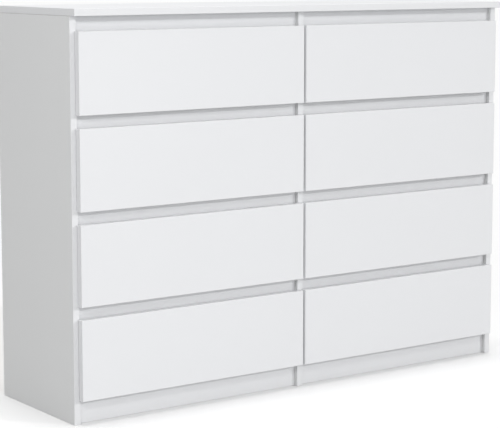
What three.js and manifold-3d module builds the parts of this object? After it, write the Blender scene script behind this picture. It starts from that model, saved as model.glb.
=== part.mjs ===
// A chest of eight handleless drawers: two columns of four behind overlay fronts.
// All sizes are in millimetres. +X is to the right, +Y to the back and +Z up.
// The origin is on the floor, under the middle of the top panel.
import * as THREE from "three";
import { mergeVertices } from "three/addons/utils/BufferGeometryUtils.js";
import Module from "manifold-3d";

// Overall size.
const overallWidth = 1400;
const overallDepth = 400;
const overallHeight = 1030;

// Boards and sheets.
const boardThickness = 18; // side panels, partition, rails and plinths
const topThickness = 18;
const frontThickness = 18;
const wrapThickness = 12; // the folded strip that makes a drawer's sides and back
const sheetThickness = 3; // cabinet backs and drawer bottoms

// What shows of the carcass around the fronts.
const rowCount = 4;
const topOverhang = 24.5; // the top panel, beyond the side panels' front edges
const frontStandOff = 1; // a closed front, off the side panels' front edges
const sideReveal = 13.7; // the side panel's edge left bare beside a front
const columnGap = 7; // between the fronts of the two columns
const topFingerGap = 36.5; // between the top panel and the highest fronts
const fingerGap = 32; // between one front and the next below it
const floorGap = 61.5; // under the lowest fronts
const railSetback = 11; // rails and plinths, behind the side panels' front edges
const railRise = 12; // a rail or plinth, up behind the front above it
const railDrop = 10; // a rail, down behind the front below it

// Cabinet back.
const backInset = 12; // back sheet, in from the rear edges
const backLift = 30; // back sheet, off the floor

// Drawer box in its bay.
const runnerSpace = 13; // each side of the box
const drawerRearGap = 15; // box to back sheet
const drawerLift = 8; // box over the rail or plinth below it
const drawerHeadroom = 12; // box under the rail above it
const bottomRise = 10; // bottom sheet, up from the box's lower edge

// Cabinet runner: a folded steel channel, open towards the drawer.
const runnerSteel = 1.2;
const runnerHeight = 27;
const runnerTopFlange = 8;
const runnerLip = 3; // the turned-up edge of the lower flange
const runnerLift = 4; // channel, up from the box's lower edge
const runnerFrontInset = 3; // behind the side panels' front edges
const runnerRearGap = 12; // channel to back sheet

// Clearances.
const jointGap = 0.3; // between pieces that meet
const runnerClear = 1.7; // between a channel and the drawer box beside it
const grooveDepth = 6;
const sheetPlay = 0.3; // around a sheet in its groove

// Finishes.
const whiteLaminate = { color: 0xf2f2f0, roughness: 0.45, metalness: 0 };
const whiteFoil = { color: 0xeeeeea, roughness: 0.5, metalness: 0 };
const whiteSheet = { color: 0xe9e9e4, roughness: 0.6, metalness: 0 };
const coatedSteel = { color: 0xf0f0ee, roughness: 0.35, metalness: 0.1 };

// Places that the sizes above lead to.
const halfWidth = overallWidth / 2;
const halfDepth = overallDepth / 2;
const halfBoard = boardThickness / 2;
const carcassFront = -halfDepth + topOverhang; // front edges of sides and partition
const topUnderside = overallHeight - topThickness;
const panelTop = topUnderside - jointGap;
const bayWidth = halfWidth - boardThickness - halfBoard;
const bayCentre = halfBoard + bayWidth / 2; // out from the middle, on either side
const railFront = carcassFront + railSetback;
const railBack = railFront + boardThickness;
const plinthTop = floorGap + railRise;
const backSheetRear = halfDepth - backInset;
const backSheetFront = backSheetRear - sheetThickness;
const rearRailBack = backSheetFront - jointGap;
const rearRailFront = rearRailBack - boardThickness;

const frontWidth = halfWidth - sideReveal - columnGap / 2;
const frontCentre = (columnGap + frontWidth) / 2; // out from the middle, on either side
const frontsAndGaps = topUnderside - topFingerGap - floorGap;
const frontHeight = (frontsAndGaps - (rowCount - 1) * fingerGap) / rowCount;
const rowPitch = frontHeight + fingerGap;
const topRailDepth = topFingerGap + railDrop - jointGap;
const railDepth = railRise + fingerGap + railDrop;

// The drawer box, from a point on the floor of its front and on the carcass's front plane.
const frontBackFace = -frontStandOff;
const boxFront = frontBackFace + jointGap;
const boxBack = backSheetFront - drawerRearGap - carcassFront;
const boxWidth = bayWidth - 2 * runnerSpace;
const boxInnerWidth = boxWidth - 2 * wrapThickness;
const boxBase = railRise + drawerLift;
const boxHeight = frontHeight - railDrop - drawerHeadroom - boxBase;
const grooveBase = boxBase + bottomRise - sheetPlay;
const grooveHeight = sheetThickness + 2 * sheetPlay;
const grooveWidth = boxInnerWidth + 2 * grooveDepth;
const grooveFront = frontBackFace - grooveDepth;
const grooveBack = boxBack - wrapThickness + grooveDepth;
const runnerDepth = runnerSpace - jointGap - runnerClear;
const runnerLength = backSheetFront - runnerRearGap - carcassFront - runnerFrontInset;

const wasm = await Module();
wasm.setup();

// A closed geometry as a solid that can be cut.
function solidOf(geometry) {
  const bare = geometry.clone();
  bare.deleteAttribute("normal");
  bare.deleteAttribute("uv");
  const merged = mergeVertices(bare);
  const vertProperties = new Float32Array(merged.attributes.position.array);
  const triVerts = new Uint32Array(merged.index.array);
  return new wasm.Manifold(new wasm.Mesh({ numProp: 3, vertProperties, triVerts }));
}

// The first geometry without the second.
function cut(whole, cutter) {
  const solid = solidOf(whole).subtract(solidOf(cutter));
  const { vertProperties, triVerts } = solid.getMesh();
  const geometry = new THREE.BufferGeometry();
  geometry.setAttribute("position", new THREE.BufferAttribute(vertProperties, 3));
  geometry.setIndex(new THREE.BufferAttribute(triVerts, 1));
  const faceted = geometry.toNonIndexed();
  faceted.computeVertexNormals();
  return faceted;
}

// A box between two opposite corners.
function boxBetween(low, high) {
  const size = high.map((value, axis) => value - low[axis]);
  const geometry = new THREE.BoxGeometry(...size);
  return geometry.translate(...high.map((value, axis) => (value + low[axis]) / 2));
}

// An outline of [across, along] points, drawn out upwards.
function upright(outline, height) {
  const shape = new THREE.Shape(outline.map(([x, y]) => new THREE.Vector2(x, y)));
  return new THREE.ExtrudeGeometry(shape, { depth: height, bevelEnabled: false });
}

// An outline of [across, up] points, drawn out from the front to the back.
function frontToBack(outline, length) {
  return upright(outline, length).rotateX(Math.PI / 2).translate(0, length, 0);
}

function part(name, geometry, finish) {
  const mesh = new THREE.Mesh(geometry, new THREE.MeshStandardMaterial(finish));
  mesh.name = name;
  return mesh;
}

// A panel's outline in plan, with a groove for a back sheet in each face that is asked for.
function panelOutline(left, right, grooveOnLeft, grooveOnRight) {
  const grooveNear = backSheetFront - sheetPlay;
  const grooveFar = backSheetRear + sheetPlay;
  const outline = [
    [left, carcassFront],
    [right, carcassFront],
  ];
  if (grooveOnRight) {
    const floor = right - grooveDepth;
    outline.push([right, grooveNear], [floor, grooveNear], [floor, grooveFar], [right, grooveFar]);
  }
  outline.push([right, halfDepth], [left, halfDepth]);
  if (grooveOnLeft) {
    const floor = left + grooveDepth;
    outline.push([left, grooveFar], [floor, grooveFar], [floor, grooveNear], [left, grooveNear]);
  }
  return outline;
}

function panels() {
  const leftOutline = panelOutline(-halfWidth, -halfWidth + boardThickness, false, true);
  const rightOutline = panelOutline(halfWidth - boardThickness, halfWidth, true, false);
  const middleOutline = panelOutline(-halfBoard, halfBoard, true, true);
  const topLow = [-halfWidth, -halfDepth, topUnderside];
  const topHigh = [halfWidth, halfDepth, overallHeight];
  return [
    part("top_panel", boxBetween(topLow, topHigh), whiteLaminate),
    part("left_side_panel", upright(leftOutline, panelTop), whiteLaminate),
    part("right_side_panel", upright(rightOutline, panelTop), whiteLaminate),
    part("centre_partition", upright(middleOutline, panelTop), whiteLaminate),
  ];
}

// A board across one bay, on edge, between two depths and two heights.
function crossBoard(name, front, back, bottom, top) {
  const reach = bayWidth / 2 - jointGap;
  return part(name, boxBetween([-reach, front, bottom], [reach, back, top]), whiteLaminate);
}

// How high the underside of a row's fronts is, with row 1 at the top.
function frontBottom(row) {
  return floorGap + (rowCount - row) * rowPitch;
}

// Rails, plinths and back sheet of one bay, from the bay's middle.
function bayBoards(column) {
  const topRailBottom = panelTop - topRailDepth;
  const boards = [
    crossBoard(`${column}_plinth`, railFront, railBack, 0, plinthTop),
    crossBoard(`${column}_rear_plinth`, rearRailFront, rearRailBack, 0, plinthTop),
    crossBoard(`${column}_rail_1`, railFront, railBack, topRailBottom, panelTop),
    crossBoard(`${column}_rear_rail`, rearRailFront, rearRailBack, topRailBottom, panelTop),
  ];
  for (let row = 2; row <= rowCount; row += 1) {
    const top = frontBottom(row - 1) + railRise;
    boards.push(crossBoard(`${column}_rail_${row}`, railFront, railBack, top - railDepth, top));
  }
  const reach = bayWidth / 2 + grooveDepth - sheetPlay;
  const low = [-reach, backSheetFront, backLift];
  const high = [reach, backSheetRear, panelTop];
  boards.push(part(`${column}_back_sheet`, boxBetween(low, high), whiteSheet));
  return boards;
}

// A drawer front, with the groove that its bottom sheet goes into.
function drawerFront(name, sideways) {
  const front = frontBackFace - frontThickness;
  const reach = frontWidth / 2;
  const board = boxBetween([sideways - reach, front, 0], [sideways + reach, frontBackFace, frontHeight]);
  const groove = boxBetween(
    [-grooveWidth / 2, grooveFront, grooveBase],
    [grooveWidth / 2, boxFront, grooveBase + grooveHeight],
  );
  return part(name, cut(board, groove), whiteLaminate);
}

// A drawer's two sides and back: one strip, folded at the two rear corners.
function drawerWrap(name) {
  const outer = boxWidth / 2;
  const inner = outer - wrapThickness;
  const strip = upright(
    [
      [-outer, boxFront],
      [-inner, boxFront],
      [-inner, boxBack - wrapThickness],
      [inner, boxBack - wrapThickness],
      [inner, boxFront],
      [outer, boxFront],
      [outer, boxBack],
      [-outer, boxBack],
    ],
    boxHeight,
  ).translate(0, 0, boxBase);
  const groove = boxBetween(
    [-grooveWidth / 2, grooveFront, grooveBase],
    [grooveWidth / 2, grooveBack, grooveBase + grooveHeight],
  );
  return part(name, cut(strip, groove), whiteFoil);
}

function drawerBottom(name) {
  const reach = grooveWidth / 2 - sheetPlay;
  const low = [-reach, grooveFront + sheetPlay, boxBase + bottomRise];
  const high = [reach, grooveBack - sheetPlay, boxBase + bottomRise + sheetThickness];
  return part(name, boxBetween(low, high), whiteSheet);
}

// A channel on the bay's left wall (side -1) or right wall (side +1).
function cabinetRunner(name, side) {
  const wall = bayWidth / 2 - jointGap;
  const outline = [
    [0, 0],
    [runnerDepth, 0],
    [runnerDepth, runnerLip],
    [runnerDepth - runnerSteel, runnerLip],
    [runnerDepth - runnerSteel, runnerSteel],
    [runnerSteel, runnerSteel],
    [runnerSteel, runnerHeight - runnerSteel],
    [runnerTopFlange, runnerHeight - runnerSteel],
    [runnerTopFlange, runnerHeight],
    [0, runnerHeight],
  ].map(([outwards, up]) => [side * (wall - outwards), up]);
  const channel = frontToBack(outline, runnerLength);
  return part(name, channel.translate(0, runnerFrontInset, boxBase + runnerLift), coatedSteel);
}

// A group whose own origin is at the given place.
function placed(pieces, x, y, z) {
  const group = new THREE.Group();
  group.add(...pieces);
  group.position.set(x, y, z);
  return group;
}

const chest = new THREE.Group();
chest.add(placed(panels(), 0, 0, 0));

for (const [column, side] of [["left", -1], ["right", 1]]) {
  chest.add(placed(bayBoards(column), side * bayCentre, 0, 0));
  for (let row = 1; row <= rowCount; row += 1) {
    const drawer = `${column}_drawer_${row}`;
    const pieces = [
      drawerFront(`${drawer}_front`, side * (frontCentre - bayCentre)),
      drawerWrap(`${drawer}_wrap`),
      drawerBottom(`${drawer}_bottom`),
      cabinetRunner(`${drawer}_runner_on_left`, -1),
      cabinetRunner(`${drawer}_runner_on_right`, 1),
    ];
    chest.add(placed(pieces, side * bayCentre, carcassFront, frontBottom(row)));
  }
}

export default chest;
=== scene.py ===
"""A white chest of eight handleless drawers, finished piece by piece around its fixed frame.

Lengths are in metres. +X is to the right, +Y to the wall and +Z up.
"""

import math

import bmesh
import bpy
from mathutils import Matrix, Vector


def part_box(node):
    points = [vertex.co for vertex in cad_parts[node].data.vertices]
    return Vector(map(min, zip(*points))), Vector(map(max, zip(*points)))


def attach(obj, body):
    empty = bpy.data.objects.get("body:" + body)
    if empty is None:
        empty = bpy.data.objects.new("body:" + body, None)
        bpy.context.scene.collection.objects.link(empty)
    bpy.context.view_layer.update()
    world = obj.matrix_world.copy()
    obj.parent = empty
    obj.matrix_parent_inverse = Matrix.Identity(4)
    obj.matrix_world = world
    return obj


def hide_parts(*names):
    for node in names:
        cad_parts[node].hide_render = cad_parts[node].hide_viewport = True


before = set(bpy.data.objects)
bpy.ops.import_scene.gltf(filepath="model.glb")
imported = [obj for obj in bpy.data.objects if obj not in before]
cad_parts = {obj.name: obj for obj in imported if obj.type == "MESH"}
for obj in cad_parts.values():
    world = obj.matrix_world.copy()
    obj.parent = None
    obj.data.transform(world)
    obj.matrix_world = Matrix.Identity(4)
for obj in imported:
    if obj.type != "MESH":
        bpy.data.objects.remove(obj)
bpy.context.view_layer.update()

COLUMNS = ("left", "right")
ROWS = (1, 2, 3, 4)
FIRST_DRAWER = "left_drawer_1"

# Cosines for picking faces by their normals.
SQUARE = 0.999  # square to a direction
NEAR = 0.9  # turned roughly to it

# Boards and sheets.
ARRIS = 0.0009  # the rounding of a banded edge
GLUE_LINE = 0.00015
STRIP = 0.012  # the folded strip of a drawer
STRIP_ARRIS = 0.0006
SHEET_ARRIS = 0.0003
SHEET_PLAY = 0.0003  # round a sheet in its groove
FOLD_LINE = 0.0003  # the mitre that shows on a folded strip's edge

# Runners.
STEEL = 0.0012
BEND = 0.0012
CHANNEL_LIP = 0.003
CHANNEL_TOP_FLANGE = 0.008
TRACK_OFF_STRIP = 0.00005
TRACK_FLANGE_HEIGHT = 0.0236  # its underside, over the strip's lower edge
TRACK_FLANGE = 0.008
TRACK_FOOT = 0.010
TRACK_FRONT_GAP = 0.002
ROLLER_WIDTH = 0.007
ROLLER_ARRIS = 0.0006
RIM_SHARE = 0.2  # of a roller's radius, as the next two are
DISH_SHARE = 0.3
RIVET_SHARE = 0.22
DISH_DEPTH = 0.0009
HUB_HEIGHT = 0.0008
HUB_SLOPE = 0.0004
RIVET_ARRIS = 0.0002
RIVET_PROUD = 0.0006  # both ends together
ROLLER_OFF_STRIP = 0.0036
FRONT_ROLLER_RADIUS = 0.009
REAR_ROLLER_RADIUS = 0.0115
FRONT_ROLLER_INSET = 0.012
REAR_ROLLER_INSET = 0.0125
ROLLER_OVER_CHANNEL = 0.0003
REAR_ROLLER_ROOM = 0.027  # the track's flange stops this far from its rear end

# Fixings. A cross slot is given by half its length, half its width and its depth.
SCREW_RADIUS = 0.0033
SCREW_DEPTH = 0.0008
SCREW_ARRIS = 0.0002
SCREW_SLOT = (0.0022, 0.0004, 0.0005)
CHANNEL_SCREWS = (0.037, 0.165, 0.293)  # behind the channel's front end
TRACK_SCREWS = (0.045, 0.173, 0.300)  # behind the strip's front end
TRACK_SCREW_HEIGHT = 0.0165  # over the strip's lower edge
CAM_RADIUS = 0.0075
CAM_DEPTH = 0.0095
CAM_ARRIS = 0.0004
CAM_SLOT = (0.0048, 0.0007, 0.0018)
CAM_HOLE_PLAY = 0.0002
CAM_HOLE_EXTRA = 0.001  # the hole's depth past the cam's, at both ends together
CAM_FROM_FRONT = 0.024
CAM_HEIGHTS = (0.040, 0.124)  # over the strip's lower edge
NAIL_RADIUS = 0.0022
NAIL_DEPTH = 0.0007
NAIL_ARRIS = 0.0003
NAIL_OUT = 0.0003  # from the sheet to the middle of the head
NAIL_EDGE = 0.020  # at least this far over the sheet's lower edge
NAIL_ROW = (0.06, 0.28, 0.50, 0.72, 0.94)  # as shares of the row's length

# Studio. Angles are in degrees.
LENS = 123.35
LENS_SHIFT = -0.06
CAMERA_PLACE = (-2.748, -3.7973, 1.1376)
CAMERA_DOWN = 7.338
CAMERA_TURN = 35.486  # to the right of straight ahead
FLOOR_RADIUS = 80.0
FLOOR_SHOWN = 0.93  # the floor's white as the camera sees it
FLOOR_BOUNCE = 0.45  # and as the light meets it


# ---------------------------------------------------------------- shader writing


class Wire:
    """A socket that takes part in sums: each sum adds its Math node."""

    def __init__(self, recipe, socket):
        self.recipe = recipe
        self.socket = socket

    def __add__(self, other):
        return self.recipe.maths("ADD", self, other)

    def __radd__(self, other):
        return self.recipe.maths("ADD", other, self)

    def __sub__(self, other):
        return self.recipe.maths("SUBTRACT", self, other)

    def __rsub__(self, other):
        return self.recipe.maths("SUBTRACT", other, self)

    def __mul__(self, other):
        return self.recipe.maths("MULTIPLY", self, other)

    def __rmul__(self, other):
        return self.recipe.maths("MULTIPLY", other, self)


class Recipe:
    """A node tree in the making, for a material or for the world."""

    def __init__(self, tree):
        self.tree = tree
        tree.nodes.clear()

    def add(self, kind, settings, inputs, output=0):
        """Adds a node, sets it up, feeds its sockets and gives back one of its outputs."""
        node = self.tree.nodes.new(kind)
        for setting, value in settings.items():
            setattr(node, setting, value)
        for socket, value in inputs.items():
            if isinstance(value, Wire):
                self.tree.links.new(value.socket, node.inputs[socket])
            else:
                node.inputs[socket].default_value = value
        return Wire(self, node.outputs[output]) if node.outputs else None

    def maths(self, operation, first, second):
        return self.add("ShaderNodeMath", {"operation": operation}, {0: first, 1: second})

    def place(self, stretch=(1.0, 1.0, 1.0)):
        """The point on the piece, stretched where a pattern runs one way."""
        point = self.add("ShaderNodeTexCoord", {}, {}, "Object")
        return self.add("ShaderNodeMapping", {}, {"Vector": point, "Scale": stretch})

    def noise(self, place, scale, detail=2.0, roughness=0.5):
        inputs = {"Vector": place, "Scale": scale, "Detail": detail, "Roughness": roughness}
        return self.add("ShaderNodeTexNoise", {}, inputs, "Fac")

    def between(self, factor, first, second):
        """A colour between two, by a factor."""
        inputs = {0: factor, 6: (*first, 1.0), 7: (*second, 1.0)}
        return self.add("ShaderNodeMix", {"data_type": "RGBA"}, inputs, 2)

    def relief(self, height, depth):
        return self.add("ShaderNodeBump", {}, {"Height": height, "Distance": depth})


def finish_of(name, base, roughness, normal=None, **fixed):
    """Ends a recipe with its shader; fixed values go straight on the shader's sockets."""
    inputs = {"Base Color": base, "Roughness": roughness}
    if normal is not None:
        inputs["Normal"] = normal
    for socket, value in fixed.items():
        inputs[socket.replace("_", " ")] = value
    recipe = base.recipe
    shader = recipe.add("ShaderNodeBsdfPrincipled", {}, inputs)
    recipe.add("ShaderNodeOutputMaterial", {}, {"Surface": shader})
    return bpy.data.materials[name]


def new_recipe(name):
    material = bpy.data.materials.new(name)
    material.use_nodes = True
    return Recipe(material.node_tree)


# ---------------------------------------------------------------- finishes


def laminate(name, light, dark, gloss, pearl):
    """Melamine-faced board: an even white with faint clouds and a fine pearled relief."""
    recipe = new_recipe(name)
    place = recipe.place()
    clouds = recipe.noise(place, 2.3, 3.0)
    pearls = recipe.noise(place, 620.0, 2.0, 0.55)
    waves = recipe.noise(place, 38.0, 1.0)
    rubbed = recipe.noise(place, 9.0, 4.0, 0.6)
    colour = recipe.between(clouds * 0.8 + pearls * 0.2, light, dark)
    roughness = gloss + (rubbed - 0.5) * 0.12 + (pearls - 0.5) * 0.08
    relief = recipe.relief(pearls * pearl + waves * 0.9, 0.00004)
    return finish_of(name, colour, roughness, relief, IOR=1.5)


def edge_band():
    """Thin plastic edging, a touch glossier than the faces."""
    name = "edge band"
    recipe = new_recipe(name)
    place = recipe.place()
    grain = recipe.noise(place, 240.0, 3.0)
    clouds = recipe.noise(place, 6.0)
    colour = recipe.between(clouds, (0.872, 0.880, 0.894), (0.850, 0.858, 0.871))
    roughness = 0.36 + (grain - 0.5) * 0.16
    return finish_of(name, colour, roughness, recipe.relief(grain, 0.00003), IOR=1.5)


def glue_line():
    """The hair line where the edging meets the face, with a little dust in it."""
    name = "glue line"
    recipe = new_recipe(name)
    dust = recipe.noise(recipe.place(), 90.0, 3.0)
    colour = recipe.between(dust, (0.74, 0.735, 0.72), (0.60, 0.59, 0.57))
    return finish_of(name, colour, 0.6 + dust * 0.1)


def raw_board():
    """Bare chipboard: pale flakes of several sizes, pressed together."""
    name = "raw chipboard"
    recipe = new_recipe(name)
    place = recipe.place()
    flakes = recipe.add("ShaderNodeTexVoronoi", {}, {"Vector": place, "Scale": 520.0}, "Color")
    tone = recipe.add("ShaderNodeSeparateColor", {}, {"Color": flakes}, "Red")
    fines = recipe.noise(place, 900.0, 4.0, 0.7)
    mix = tone * 0.7 + fines * 0.3
    colour = recipe.between(mix, (0.30, 0.19, 0.10), (0.62, 0.46, 0.29))
    return finish_of(name, colour, 0.8 + fines * 0.15, recipe.relief(mix, 0.0003))


def foil():
    """The paper foil that wraps a drawer's strip: matt, with a faint press grain."""
    name = "strip foil"
    recipe = new_recipe(name)
    grain = recipe.noise(recipe.place((1.0, 0.35, 3.0)), 420.0, 3.0, 0.6)
    clouds = recipe.noise(recipe.place(), 3.0, 2.0)
    colour = recipe.between(clouds * 0.7 + grain * 0.3, (0.80, 0.80, 0.79), (0.76, 0.76, 0.745))
    return finish_of(name, colour, 0.5 + (grain - 0.5) * 0.2, recipe.relief(grain, 0.00004))


def printed_sheet():
    """Hardboard's painted side: thin white print with the fibres just showing."""
    name = "printed hardboard"
    recipe = new_recipe(name)
    fibres = recipe.noise(recipe.place((1.0, 2.5, 2.5)), 260.0, 5.0, 0.65)
    clouds = recipe.noise(recipe.place(), 4.0, 2.0)
    mix = fibres * 0.5 + clouds * 0.5
    colour = recipe.between(mix, (0.78, 0.78, 0.765), (0.71, 0.705, 0.685))
    return finish_of(name, colour, 0.55 + (fibres - 0.5) * 0.25, recipe.relief(fibres, 0.00006))


def bare_sheet():
    """Hardboard's screen side: brown pressed fibre with a fine woven dent."""
    name = "bare hardboard"
    recipe = new_recipe(name)
    place = recipe.place()
    fibres = recipe.noise(place, 330.0, 6.0, 0.7)
    clouds = recipe.noise(place, 7.0, 3.0)
    weave = recipe.add("ShaderNodeTexVoronoi", {"feature": "F1"}, {"Vector": place, "Scale": 900.0})
    mix = fibres * 0.55 + clouds * 0.45
    colour = recipe.between(mix, (0.40, 0.27, 0.16), (0.23, 0.145, 0.08))
    height = fibres * 0.6 + weave * 0.6
    return finish_of(name, colour, 0.72 + (fibres - 0.5) * 0.2, recipe.relief(height, 0.00025))


def coated_steel():
    """Folded sheet steel under white epoxy: satin, with a soft orange peel."""
    name = "epoxy coated steel"
    recipe = new_recipe(name)
    place = recipe.place()
    peel = recipe.noise(place, 700.0, 1.0)
    film = recipe.noise(place, 30.0, 3.0)
    colour = recipe.between(film, (0.82, 0.82, 0.815), (0.77, 0.77, 0.76))
    return finish_of(name, colour, 0.3 + film * 0.12, recipe.relief(peel, 0.00006), IOR=1.55)


def nylon():
    """A moulded roller: milky plastic, dulled where it runs."""
    name = "roller nylon"
    recipe = new_recipe(name)
    scuffs = recipe.noise(recipe.place(), 420.0, 4.0)
    colour = recipe.between(scuffs, (0.74, 0.735, 0.70), (0.66, 0.65, 0.61))
    relief = recipe.relief(scuffs, 0.00005)
    return finish_of(name, colour, 0.42 + scuffs * 0.2, relief, Subsurface_Weight=0.1)


def zinc(name, light, dark, roughness):
    """Plated or cast zinc: metal with a cloudy passivation."""
    recipe = new_recipe(name)
    place = recipe.place()
    bloom = recipe.noise(place, 160.0, 4.0, 0.6)
    marks = recipe.noise(place, 1500.0, 2.0)
    colour = recipe.between(bloom, light, dark)
    dull = roughness + bloom * 0.2
    return finish_of(name, colour, dull, recipe.relief(marks, 0.00004), Metallic=1.0)


# FACE is for the side panels and the partition, and the bluer laminate for the fronts, top, rails
# and plinths. That laminate is the same white with a bluer tint, which is painted light: it stands
# in for the bluish light that falls on those parts.
FACE = laminate("face laminate", (0.872, 0.880, 0.881), (0.856, 0.864, 0.865), 0.46, 0.7)
BLUE_LIT_LAMINATE = laminate("laminate with painted blue light", (0.876, 0.884, 0.901), (0.862, 0.870, 0.887), 0.42, 0.4)
EDGE = edge_band()
GLUE = glue_line()
RAW = raw_board()
FOIL = foil()
PRINTED = printed_sheet()
BARE = bare_sheet()
COATED = coated_steel()
NYLON = nylon()
PLATED = zinc("zinc plating", (0.72, 0.73, 0.74), (0.55, 0.57, 0.60), 0.28)
CAST = zinc("cast zinc", (0.58, 0.58, 0.57), (0.42, 0.42, 0.41), 0.42)


# ---------------------------------------------------------------- working with pieces


def only(piece):
    """Selects one piece and nothing else."""
    bpy.ops.object.select_all(action="DESELECT")
    piece.select_set(True)
    bpy.context.view_layer.objects.active = piece


def just_added(name):
    """The primitive just added, with a name and with its place in its mesh."""
    piece = bpy.context.object
    piece.name = name
    piece.data.name = name
    bpy.ops.object.transform_apply(location=True, rotation=True, scale=True)
    return piece


def block(name, low, high, turn=0.0):
    """A box between two corners, then turned about its own upright axis."""
    low, high = Vector(low), Vector(high)
    bpy.ops.object.select_all(action="DESELECT")
    bpy.ops.mesh.primitive_cube_add(
        size=1, location=(low + high) / 2, rotation=(0, 0, turn), scale=high - low
    )
    return just_added(name)


def disc(name, centre, radius, depth, axis, sides=32):
    """A round blank across the x or the y axis."""
    turned = {"x": (0, math.pi / 2, 0), "y": (math.pi / 2, 0, 0)}[axis]
    bpy.ops.object.select_all(action="DESELECT")
    bpy.ops.mesh.primitive_cylinder_add(
        vertices=sides, radius=radius, depth=depth, location=centre, rotation=turned
    )
    return just_added(name)


def modify(piece, kind, **settings):
    """Adds a modifier and applies it."""
    only(piece)
    bpy.ops.object.modifier_add(type=kind)
    modifier = piece.modifiers[-1]
    for setting, value in settings.items():
        setattr(modifier, setting, value)
    bpy.ops.object.modifier_apply(modifier=modifier.name)


def round_over(piece, width, segments=3):
    """Rounds every edge that turns by more than a third of a right angle."""
    modify(
        piece, "BEVEL", width=width, segments=segments,
        limit_method="ANGLE", angle_limit=math.radians(30),
    )


def cut_away(piece, cutter, bared):
    """Takes the cutter's space out of the piece, and bares one finish there."""
    cutter.data.materials.append(bared)
    modify(
        piece, "BOOLEAN", operation="DIFFERENCE", solver="EXACT",
        object=cutter, material_mode="TRANSFER",
    )
    bpy.data.objects.remove(cutter)


def pick_faces(piece, wanted):
    """Goes into edit mode with the faces selected whose middle and normal suit."""
    only(piece)
    bpy.ops.object.mode_set(mode="EDIT")
    bpy.ops.mesh.select_mode(type="FACE")
    bpy.ops.mesh.select_all(action="DESELECT")
    mesh = bmesh.from_edit_mesh(piece.data)
    for face in mesh.faces:
        if wanted(face.calc_center_median(), face.normal):
            face.select_set(True)
    bmesh.update_edit_mesh(piece.data)


def pick_edges(piece, wanted):
    """Goes into edit mode with the edges selected whose middle suits."""
    only(piece)
    bpy.ops.object.mode_set(mode="EDIT")
    bpy.ops.mesh.select_mode(type="EDGE")
    bpy.ops.mesh.select_all(action="DESELECT")
    mesh = bmesh.from_edit_mesh(piece.data)
    for edge in mesh.edges:
        if wanted((edge.verts[0].co + edge.verts[1].co) / 2):
            edge.select_set(True)
    bmesh.update_edit_mesh(piece.data)


def slice_at(piece, point, normal):
    """Scores the whole piece along a plane, which adds edges there."""
    only(piece)
    bpy.ops.object.mode_set(mode="EDIT")
    bpy.ops.mesh.select_all(action="SELECT")
    bpy.ops.mesh.bisect(plane_co=point, plane_no=normal)
    bpy.ops.object.mode_set(mode="OBJECT")


def draw_out(offset):
    """In edit mode, extrudes what is selected, and goes back to object mode."""
    bpy.ops.mesh.extrude_region_move(TRANSFORM_OT_translate={"value": offset})
    bpy.ops.object.mode_set(mode="OBJECT")


def face_outwards(piece):
    """Turns every face of a closed piece outwards."""
    only(piece)
    bpy.ops.object.mode_set(mode="EDIT")
    bpy.ops.mesh.select_all(action="SELECT")
    bpy.ops.mesh.normals_make_consistent(inside=False)
    bpy.ops.object.mode_set(mode="OBJECT")


def shade(piece, angle=50.0):
    """Smooth over small turns, and true on the broad faces."""
    only(piece)
    bpy.ops.object.shade_smooth_by_angle(angle=math.radians(angle))
    modify(piece, "WEIGHTED_NORMAL", weight=100, keep_sharp=True)


def paint(piece, finishes, choose):
    """Gives the piece its finishes, and each face the one that choose(middle, normal) numbers."""
    piece.data.materials.clear()
    for finish in finishes:
        piece.data.materials.append(finish)
    for face in piece.data.polygons:
        face.material_index = choose(face.center, face.normal)


def all_over(middle, normal):
    """For paint: the first finish on every face."""
    return 0


def joined(name, pieces):
    """Several solids as one piece."""
    bpy.ops.object.select_all(action="DESELECT")
    for piece in pieces:
        piece.select_set(True)
    bpy.context.view_layer.objects.active = pieces[0]
    bpy.ops.object.join()
    pieces[0].name = name
    pieces[0].data.name = name
    return pieces[0]


def copied(piece, name, offset):
    """A copy with its own mesh, moved by an offset."""
    only(piece)
    bpy.ops.object.duplicate(linked=False)
    copy = bpy.context.object
    copy.name = name
    copy.data.name = name
    bpy.ops.transform.translate(value=offset)
    bpy.ops.object.transform_apply(location=True, rotation=False, scale=False)
    return copy


def fitted(piece, body, node=None):
    """Lets a finished piece ride on its body, in the place of its node if it has one."""
    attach(piece, body)
    if node:
        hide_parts(node)


# ---------------------------------------------------------------- boards


def board(name, low, high, face, raw=()):
    """A laminated board: banded edges with soft arrises, and a glue line round each broad face.

    raw lists the directions in which its edge is left bare.
    """
    piece = block(name, low, high)
    size = Vector(high) - Vector(low)
    thin = list(size).index(min(size))
    round_over(piece, ARRIS)

    def broad(middle, normal):
        return abs(normal[thin]) > SQUARE

    def finish_number(middle, normal):
        if broad(middle, normal):
            return 2
        if any(normal.dot(Vector(direction)) > SQUARE for direction in raw):
            return 3
        return 1

    paint(piece, [face, EDGE, GLUE, RAW], finish_number)
    pick_faces(piece, broad)
    bpy.ops.mesh.inset(thickness=GLUE_LINE)
    piece.active_material_index = 0
    bpy.ops.object.material_slot_assign()
    bpy.ops.object.mode_set(mode="OBJECT")
    return piece


def carcass_board(node, face, raw, grooves=()):
    """One board of the carcass, in its node's place, with any grooves cut in it."""
    low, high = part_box(node)
    piece = board(node + "_board", low, high, face, raw)
    for groove_low, groove_high in grooves:
        cut_away(piece, block("cutter", groove_low, groove_high), RAW)
    shade(piece)
    fitted(piece, "carcass", node)


def sheet_groove(panel, sheet):
    """The groove in a panel that a back sheet's edge goes into, open at both ends."""
    panel_low, panel_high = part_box(panel)
    sheet_low, sheet_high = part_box(sheet)
    play = Vector((SHEET_PLAY, SHEET_PLAY, 0))
    past = Vector((0, 0, ARRIS * 4))  # the cutter stands clear of the rounded ends
    low = Vector((sheet_low.x, sheet_low.y, panel_low.z)) - play - past
    high = Vector((sheet_high.x, sheet_high.y, panel_high.z)) + play + past
    return low, high


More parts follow.
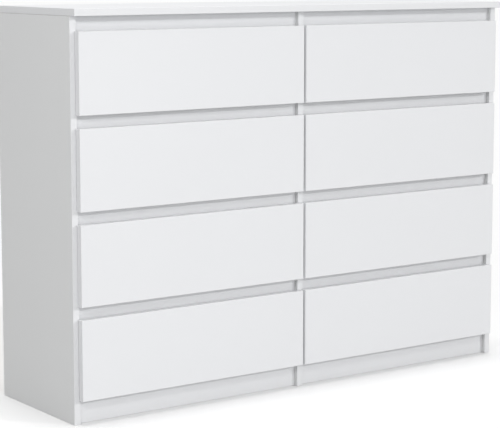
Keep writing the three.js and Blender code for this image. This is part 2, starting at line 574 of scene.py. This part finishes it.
UP, DOWN = (0, 0, 1), (0, 0, -1)
LEFT, RIGHT = (-1, 0, 0), (1, 0, 0)
FORWARD = (0, -1, 0)


def carcass_boards():
    # The top, rails and plinths take the bluer laminate, whose blue tint is painted light.
    carcass_board("top_panel", BLUE_LIT_LAMINATE, ())
    for panel, columns in (
        ("left_side_panel", ("left",)),
        ("right_side_panel", ("right",)),
        ("centre_partition", COLUMNS),
    ):
        grooves = [sheet_groove(panel, column + "_back_sheet") for column in columns]
        carcass_board(panel, FACE, (UP, DOWN), grooves)
    for column in COLUMNS:
        for part in ("plinth", "rear_plinth", "rear_rail", *(f"rail_{row}" for row in ROWS)):
            carcass_board(f"{column}_{part}", BLUE_LIT_LAMINATE, (LEFT, RIGHT))


def hardboard(name, low, high, printed_side):
    """A thin sheet, printed white on one side and bare on the other."""
    piece = block(name, low, high)
    round_over(piece, SHEET_ARRIS, segments=2)
    printed = Vector(printed_side)
    paint(piece, [PRINTED, BARE], lambda middle, normal: 0 if normal.dot(printed) > NEAR else 1)
    shade(piece)
    return piece


def back_sheets():
    """The two back sheets, each pinned to the rail and the plinth in front of it."""
    for column in COLUMNS:
        node = column + "_back_sheet"
        low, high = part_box(node)
        fitted(hardboard(node + "_hardboard", low, high, FORWARD), "carcass", node)
        heads = []
        for member in ("rear_rail", "rear_plinth"):
            member_low, member_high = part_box(f"{column}_{member}")
            height = max((member_low.z + member_high.z) / 2, low.z + NAIL_EDGE)
            for share in NAIL_ROW:
                across = member_low.x + (member_high.x - member_low.x) * share
                centre = (across, high.y + NAIL_OUT, height)
                head = disc("nail", centre, NAIL_RADIUS, NAIL_DEPTH, "y", sides=16)
                round_over(head, NAIL_ARRIS, segments=2)
                heads.append(head)
        nails = joined(column + "_back_sheet_nails", heads)
        paint(nails, [PLATED], all_over)
        shade(nails, angle=30.0)
        fitted(nails, "carcass")


# ---------------------------------------------------------------- fixings


def cross_slot(head, centre, towards, depth, slot, finish):
    """Sinks a cross slot in the face of a round head, and finishes the whole head."""
    x = centre[0] + towards * depth / 2
    reach, half_width, sunk = slot
    for along_y, along_z in ((reach, half_width), (half_width, reach)):
        low = (x - sunk, centre[1] - along_y, centre[2] - along_z)
        high = (x + sunk, centre[1] + along_y, centre[2] + along_z)
        cut_away(head, block("cutter", low, high), finish)
    paint(head, [finish], all_over)
    shade(head, angle=30.0)


def screw_head(centre, towards):
    """A screw's head in a wall across the x axis; towards is the way that it faces."""
    head = disc("screw", centre, SCREW_RADIUS, SCREW_DEPTH, "x", sides=24)
    round_over(head, SCREW_ARRIS, segments=2)
    cross_slot(head, centre, towards, SCREW_DEPTH, SCREW_SLOT, PLATED)
    return head


def cam(centre, towards):
    """A cast cam, which draws the front on when it is turned by its slot."""
    body = disc("cam", centre, CAM_RADIUS, CAM_DEPTH, "x", sides=40)
    round_over(body, CAM_ARRIS, segments=2)
    cross_slot(body, centre, towards, CAM_DEPTH, CAM_SLOT, CAST)
    return body


def roller(name, centre, radius):
    """A moulded wheel with a dished face round its hub, on a plated rivet."""
    wheel = disc(name, centre, radius, ROLLER_WIDTH, "x", sides=48)
    round_over(wheel, ROLLER_ARRIS)
    pick_faces(wheel, lambda middle, normal: abs(normal.x) > SQUARE)
    bpy.ops.mesh.inset(thickness=radius * RIM_SHARE, use_individual=True)
    bpy.ops.mesh.inset(thickness=HUB_SLOPE, depth=-DISH_DEPTH, use_individual=True)
    bpy.ops.mesh.inset(thickness=radius * DISH_SHARE, use_individual=True)
    bpy.ops.mesh.inset(thickness=HUB_SLOPE, depth=HUB_HEIGHT, use_individual=True)
    bpy.ops.object.mode_set(mode="OBJECT")
    paint(wheel, [NYLON], all_over)
    shade(wheel, angle=30.0)
    rivet_length = ROLLER_WIDTH + RIVET_PROUD
    rivet = disc("rivet", centre, radius * RIVET_SHARE, rivet_length, "x", sides=24)
    round_over(rivet, RIVET_ARRIS, segments=2)
    paint(rivet, [PLATED], all_over)
    shade(rivet, angle=30.0)
    return joined(name, [wheel, rivet])


# ---------------------------------------------------------------- runners


def wall_strip(name, x, low_y, high_y, low_z, high_z):
    """A flat upright surface across the x axis, the first leg of a folded section."""
    bpy.ops.object.select_all(action="DESELECT")
    bpy.ops.mesh.primitive_plane_add(
        size=1,
        location=(x, (low_y + high_y) / 2, (low_z + high_z) / 2),
        rotation=(0, math.pi / 2, 0),
    )
    piece = bpy.context.object
    piece.scale = (high_z - low_z, high_y - low_y, 1)
    return just_added(name)


def fold_up(piece):
    """Rounds the folds of a surface and gives it the thickness of its steel."""
    round_over(piece, BEND)
    modify(piece, "SOLIDIFY", thickness=STEEL, offset=0.0, use_even_offset=True)
    face_outwards(piece)
    paint(piece, [COATED], all_over)
    shade(piece, angle=40.0)


def channel(name, node, side):
    """The cabinet's member: a channel with its back to the wall on that side."""
    low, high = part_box(node)
    half = STEEL / 2
    wall = (high.x if side > 0 else low.x) - side * half
    inwards = -side
    bottom, top = low.z + half, high.z - half
    piece = wall_strip(name, wall, low.y, high.y, bottom, top)
    pick_edges(piece, lambda middle: middle.z > top - half)
    draw_out((inwards * (CHANNEL_TOP_FLANGE - half), 0, 0))
    pick_edges(piece, lambda middle: middle.z < bottom + half and abs(middle.x - wall) < half)
    draw_out((inwards * (high.x - low.x - STEEL), 0, 0))
    lip = wall + inwards * (high.x - low.x - STEEL)
    pick_edges(piece, lambda middle: middle.z < bottom + half and abs(middle.x - lip) < half)
    draw_out((0, 0, CHANNEL_LIP - half))
    fold_up(piece)
    return piece


def track(name, strip_low, strip_high, side):
    """The drawer's member: under the strip's lower edge, up its side and out over the rollers."""
    half = STEEL / 2
    off = TRACK_OFF_STRIP + half
    web = (strip_high.x if side > 0 else strip_low.x) + side * off
    foot = strip_low.z - off
    top = strip_low.z + TRACK_FLANGE_HEIGHT + half
    front, rear = strip_low.y + TRACK_FRONT_GAP, strip_high.y
    piece = wall_strip(name, web, front, rear, foot, top)
    slice_at(piece, (0, rear - REAR_ROLLER_ROOM, 0), (0, 1, 0))
    pick_edges(piece, lambda middle: middle.z > top - half and middle.y < rear - REAR_ROLLER_ROOM)
    draw_out((side * TRACK_FLANGE, 0, 0))
    pick_edges(piece, lambda middle: middle.z < foot + half)
    draw_out((-side * (TRACK_FOOT + off), 0, 0))
    fold_up(piece)
    return piece


def runner_masters(side):
    """The first drawer's members, rollers and screws on one side."""
    word = "right" if side > 0 else "left"
    node = f"{FIRST_DRAWER}_runner_on_{word}"
    low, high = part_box(node)
    strip_low, strip_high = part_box(FIRST_DRAWER + "_wrap")
    strip_face = strip_high.x if side > 0 else strip_low.x
    roller_x = strip_face + side * (ROLLER_OFF_STRIP + ROLLER_WIDTH / 2)
    channel_floor = low.z + STEEL
    front_y = low.y + FRONT_ROLLER_INSET
    rear_y = strip_high.y - REAR_ROLLER_INSET
    front_z = strip_low.z + TRACK_FLANGE_HEIGHT - FRONT_ROLLER_RADIUS
    rear_z = channel_floor + REAR_ROLLER_RADIUS + ROLLER_OVER_CHANNEL
    wall_face = (high.x if side > 0 else low.x) - side * STEEL
    track_face = strip_face + side * (TRACK_OFF_STRIP + STEEL)
    channel_screws = [
        screw_head((wall_face, low.y + along, (low.z + high.z) / 2), -side)
        for along in CHANNEL_SCREWS
    ]
    track_screws = [
        screw_head((track_face, strip_low.y + along, strip_low.z + TRACK_SCREW_HEIGHT), side)
        for along in TRACK_SCREWS
    ]
    return {
        "channel": channel("channel master", node, side),
        "front_roller": roller("roller master", (roller_x, front_y, front_z), FRONT_ROLLER_RADIUS),
        "channel_screws": joined("screws master", channel_screws),
        "track": track("track master", strip_low, strip_high, side),
        "rear_roller": roller("roller master", (roller_x, rear_y, rear_z), REAR_ROLLER_RADIUS),
        "track_screws": joined("screws master", track_screws),
    }


# ---------------------------------------------------------------- drawers


def drawer_names():
    return [f"{column}_drawer_{row}" for column in COLUMNS for row in ROWS]


def sheet_space(drawer):
    """The groove round a drawer's bottom sheet."""
    low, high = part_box(drawer + "_bottom")
    play = Vector((SHEET_PLAY, SHEET_PLAY, SHEET_PLAY))
    return low - play, high + play


def drawer_front(name, drawer):
    """A drawer's front, grooved at the back for the bottom sheet."""
    low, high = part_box(drawer + "_front")
    piece = board(name, low, high, BLUE_LIT_LAMINATE)
    groove_low, groove_high = sheet_space(drawer)
    groove_high.y = high.y + ARRIS
    cut_away(piece, block("cutter", groove_low, groove_high), RAW)
    shade(piece)
    return piece


def cam_places(drawer):
    """The middles of the four cams, two in each side of the strip, and the way each faces."""
    low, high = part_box(drawer + "_wrap")
    y = low.y + CAM_FROM_FRONT
    return [
        ((inner + side * CAM_DEPTH / 2, y, low.z + height), -side)
        for side, inner in ((-1, low.x + STRIP), (1, high.x - STRIP))
        for height in CAM_HEIGHTS
    ]


def folded_strip(name, drawer):
    """Both sides and the back of a drawer, folded from one foil-wrapped strip."""
    low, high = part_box(drawer + "_wrap")
    back_face = high.y - STRIP
    inner_left, inner_right = low.x + STRIP, high.x - STRIP
    piece = block(name, (low.x, back_face, low.z), high)
    for x in (inner_left, inner_right):
        slice_at(piece, (x, 0, 0), (1, 0, 0))
    pick_faces(
        piece,
        lambda middle, normal: normal.y < -NEAR and not inner_left < middle.x < inner_right,
    )
    draw_out((0, low.y - back_face, 0))
    round_over(piece, STRIP_ARRIS)

    def finish_number(middle, normal):
        bare = normal.z < -NEAR or (normal.y < -NEAR and middle.y < low.y + STRIP)
        return 1 if bare else 0

    paint(piece, [FOIL, RAW], finish_number)
    groove_low, groove_high = sheet_space(drawer)
    groove_low.y = low.y - ARRIS
    cut_away(piece, block("cutter", groove_low, groove_high), RAW)
    reach = STRIP * math.sqrt(2)
    for side, corner_x in ((-1, low.x + STRIP / 2), (1, high.x - STRIP / 2)):
        for edge in (low.z, high.z):
            middle = Vector((corner_x, high.y - STRIP / 2, edge))
            spread = Vector((reach, FOLD_LINE, FOLD_LINE * 2)) / 2
            line = block("cutter", middle - spread, middle + spread, side * math.pi / 4)
            cut_away(piece, line, RAW)
    hole_radius = CAM_RADIUS + CAM_HOLE_PLAY
    hole_depth = CAM_DEPTH + CAM_HOLE_EXTRA
    for centre, towards in cam_places(drawer):
        cut_away(piece, disc("cutter", centre, hole_radius, hole_depth, "x", sides=40), RAW)
    shade(piece)
    return piece


def strip_cams(drawer):
    """The four cams of a drawer, as one piece."""
    cams = [cam(centre, towards) for centre, towards in cam_places(drawer)]
    return joined("cams master", cams)


def drawer_bottom(name, drawer):
    """A drawer's bottom sheet, with its printed side up."""
    low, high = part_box(drawer + "_bottom")
    return hardboard(name, low, high, UP)


def drawers():
    """Models the first drawer's pieces, and sets a copy of each at every drawer's place."""
    strip = folded_strip("strip master", FIRST_DRAWER)
    bottom = drawer_bottom("bottom master", FIRST_DRAWER)
    cams = strip_cams(FIRST_DRAWER)
    fronts = {
        column: drawer_front(f"{column} front master", f"{column}_drawer_1") for column in COLUMNS
    }
    runners = {"left": runner_masters(-1), "right": runner_masters(1)}
    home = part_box(FIRST_DRAWER + "_wrap")[0]
    for drawer in drawer_names():
        column = drawer.split("_")[0]
        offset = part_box(drawer + "_wrap")[0] - home
        front_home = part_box(f"{column}_drawer_1_front")[0]
        front_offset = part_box(drawer + "_front")[0] - front_home
        front = copied(fronts[column], drawer + "_front_panel", front_offset)
        fitted(front, drawer, drawer + "_front")
        folded = copied(strip, drawer + "_folded_strip", offset)
        fitted(folded, drawer, drawer + "_wrap")
        sheet = copied(bottom, drawer + "_bottom_sheet", offset)
        fitted(sheet, drawer, drawer + "_bottom")
        fitted(copied(cams, drawer + "_cams", offset), drawer)
        for word, parts in runners.items():
            for part in ("channel", "front_roller", "channel_screws"):
                piece = copied(parts[part], f"{drawer}_{word}_{part}", offset)
                if part == "channel":
                    fitted(piece, "carcass", f"{drawer}_runner_on_{word}")
                else:
                    fitted(piece, "carcass")
            for part in ("track", "rear_roller", "track_screws"):
                piece = copied(parts[part], f"{drawer}_{word}_{part}", offset)
                fitted(piece, drawer)
    masters = [strip, bottom, cams, *fronts.values()]
    for parts in runners.values():
        masters.extend(parts.values())
    for master in masters:
        bpy.data.objects.remove(master)


# ---------------------------------------------------------------- studio


def camera():
    """A long lens a little above the chest, from the left of its front."""
    data = bpy.data.cameras.new("camera")
    data.sensor_width = 36.0
    data.lens = LENS
    data.shift_y = LENS_SHIFT
    piece = bpy.data.objects.new("camera", data)
    piece.location = CAMERA_PLACE
    piece.rotation_euler = (math.radians(90.0 - CAMERA_DOWN), 0.0, math.radians(-CAMERA_TURN))
    bpy.context.scene.collection.objects.link(piece)
    bpy.context.scene.camera = piece


def studio_floor():
    """A plain pale floor that runs out of sight and throws up less light than it shows."""
    bpy.ops.object.select_all(action="DESELECT")
    bpy.ops.mesh.primitive_circle_add(vertices=96, radius=FLOOR_RADIUS, fill_type="NGON")
    floor = just_added("studio_floor")
    name = "pale floor"
    recipe = new_recipe(name)
    clouds = recipe.noise(recipe.place(), 1.5, 2.0)
    seen = recipe.add("ShaderNodeLightPath", {}, {}, "Is Camera Ray")
    tone = seen * (FLOOR_SHOWN + clouds * 0.02) + (1.0 - seen) * FLOOR_BOUNCE
    colour = recipe.between(tone, (0.0, 0.0, 0.0), (1.0, 1.0, 1.0))
    paint(floor, [finish_of(name, colour, 0.8 + clouds * 0.1)], all_over)


def softbox(name, place, aim, size, power):
    """A square light at a place, turned to the point that it lights."""
    data = bpy.data.lights.new(name, "AREA")
    data.shape = "SQUARE"
    data.size = size
    data.energy = power
    light = bpy.data.objects.new(name, data)
    light.location = place
    light.rotation_euler = (Vector(aim) - Vector(place)).to_track_quat("-Z", "Y").to_euler()
    bpy.context.scene.collection.objects.link(light)


def sky_light(name, direction, strength, softness):
    """A wide, far light that comes from a direction."""
    data = bpy.data.lights.new(name, "SUN")
    data.energy = strength
    data.angle = math.radians(softness)
    light = bpy.data.objects.new(name, data)
    light.rotation_euler = Vector(direction).to_track_quat("Z", "Y").to_euler()
    bpy.context.scene.collection.objects.link(light)


def room_light(level):
    """Even light from all round, and a white background behind the object."""
    world = bpy.data.worlds.new("studio")
    bpy.context.scene.world = world
    world.use_nodes = True
    recipe = Recipe(world.node_tree)
    seen = recipe.add("ShaderNodeLightPath", {}, {}, "Is Camera Ray")
    strength = level + seen * (1.0 - level)
    white = (1.0, 1.0, 1.0, 1.0)
    background = recipe.add("ShaderNodeBackground", {}, {"Color": white, "Strength": strength})
    recipe.add("ShaderNodeOutputWorld", {}, {"Surface": background})


def studio():
    camera()
    studio_floor()
    room_light(level=0.59)
    sky_light("right_key", direction=(0.8, -1.0, 0.42), strength=0.73, softness=1.5)
    sky_light("overhead", direction=(0.0, 0.0, 1.0), strength=1.23, softness=20.0)
    sky_light("low_fill", direction=(0.0, -1.0, 0.12), strength=0.34, softness=14.0)
    softbox("left_fill", place=(-2.64, -2.35, 2.16), aim=(0.0, 0.0, 0.6), size=0.25, power=18.0)
    bpy.context.scene.view_settings.view_transform = "Standard"


studio()
carcass_boards()
back_sheets()
drawers()
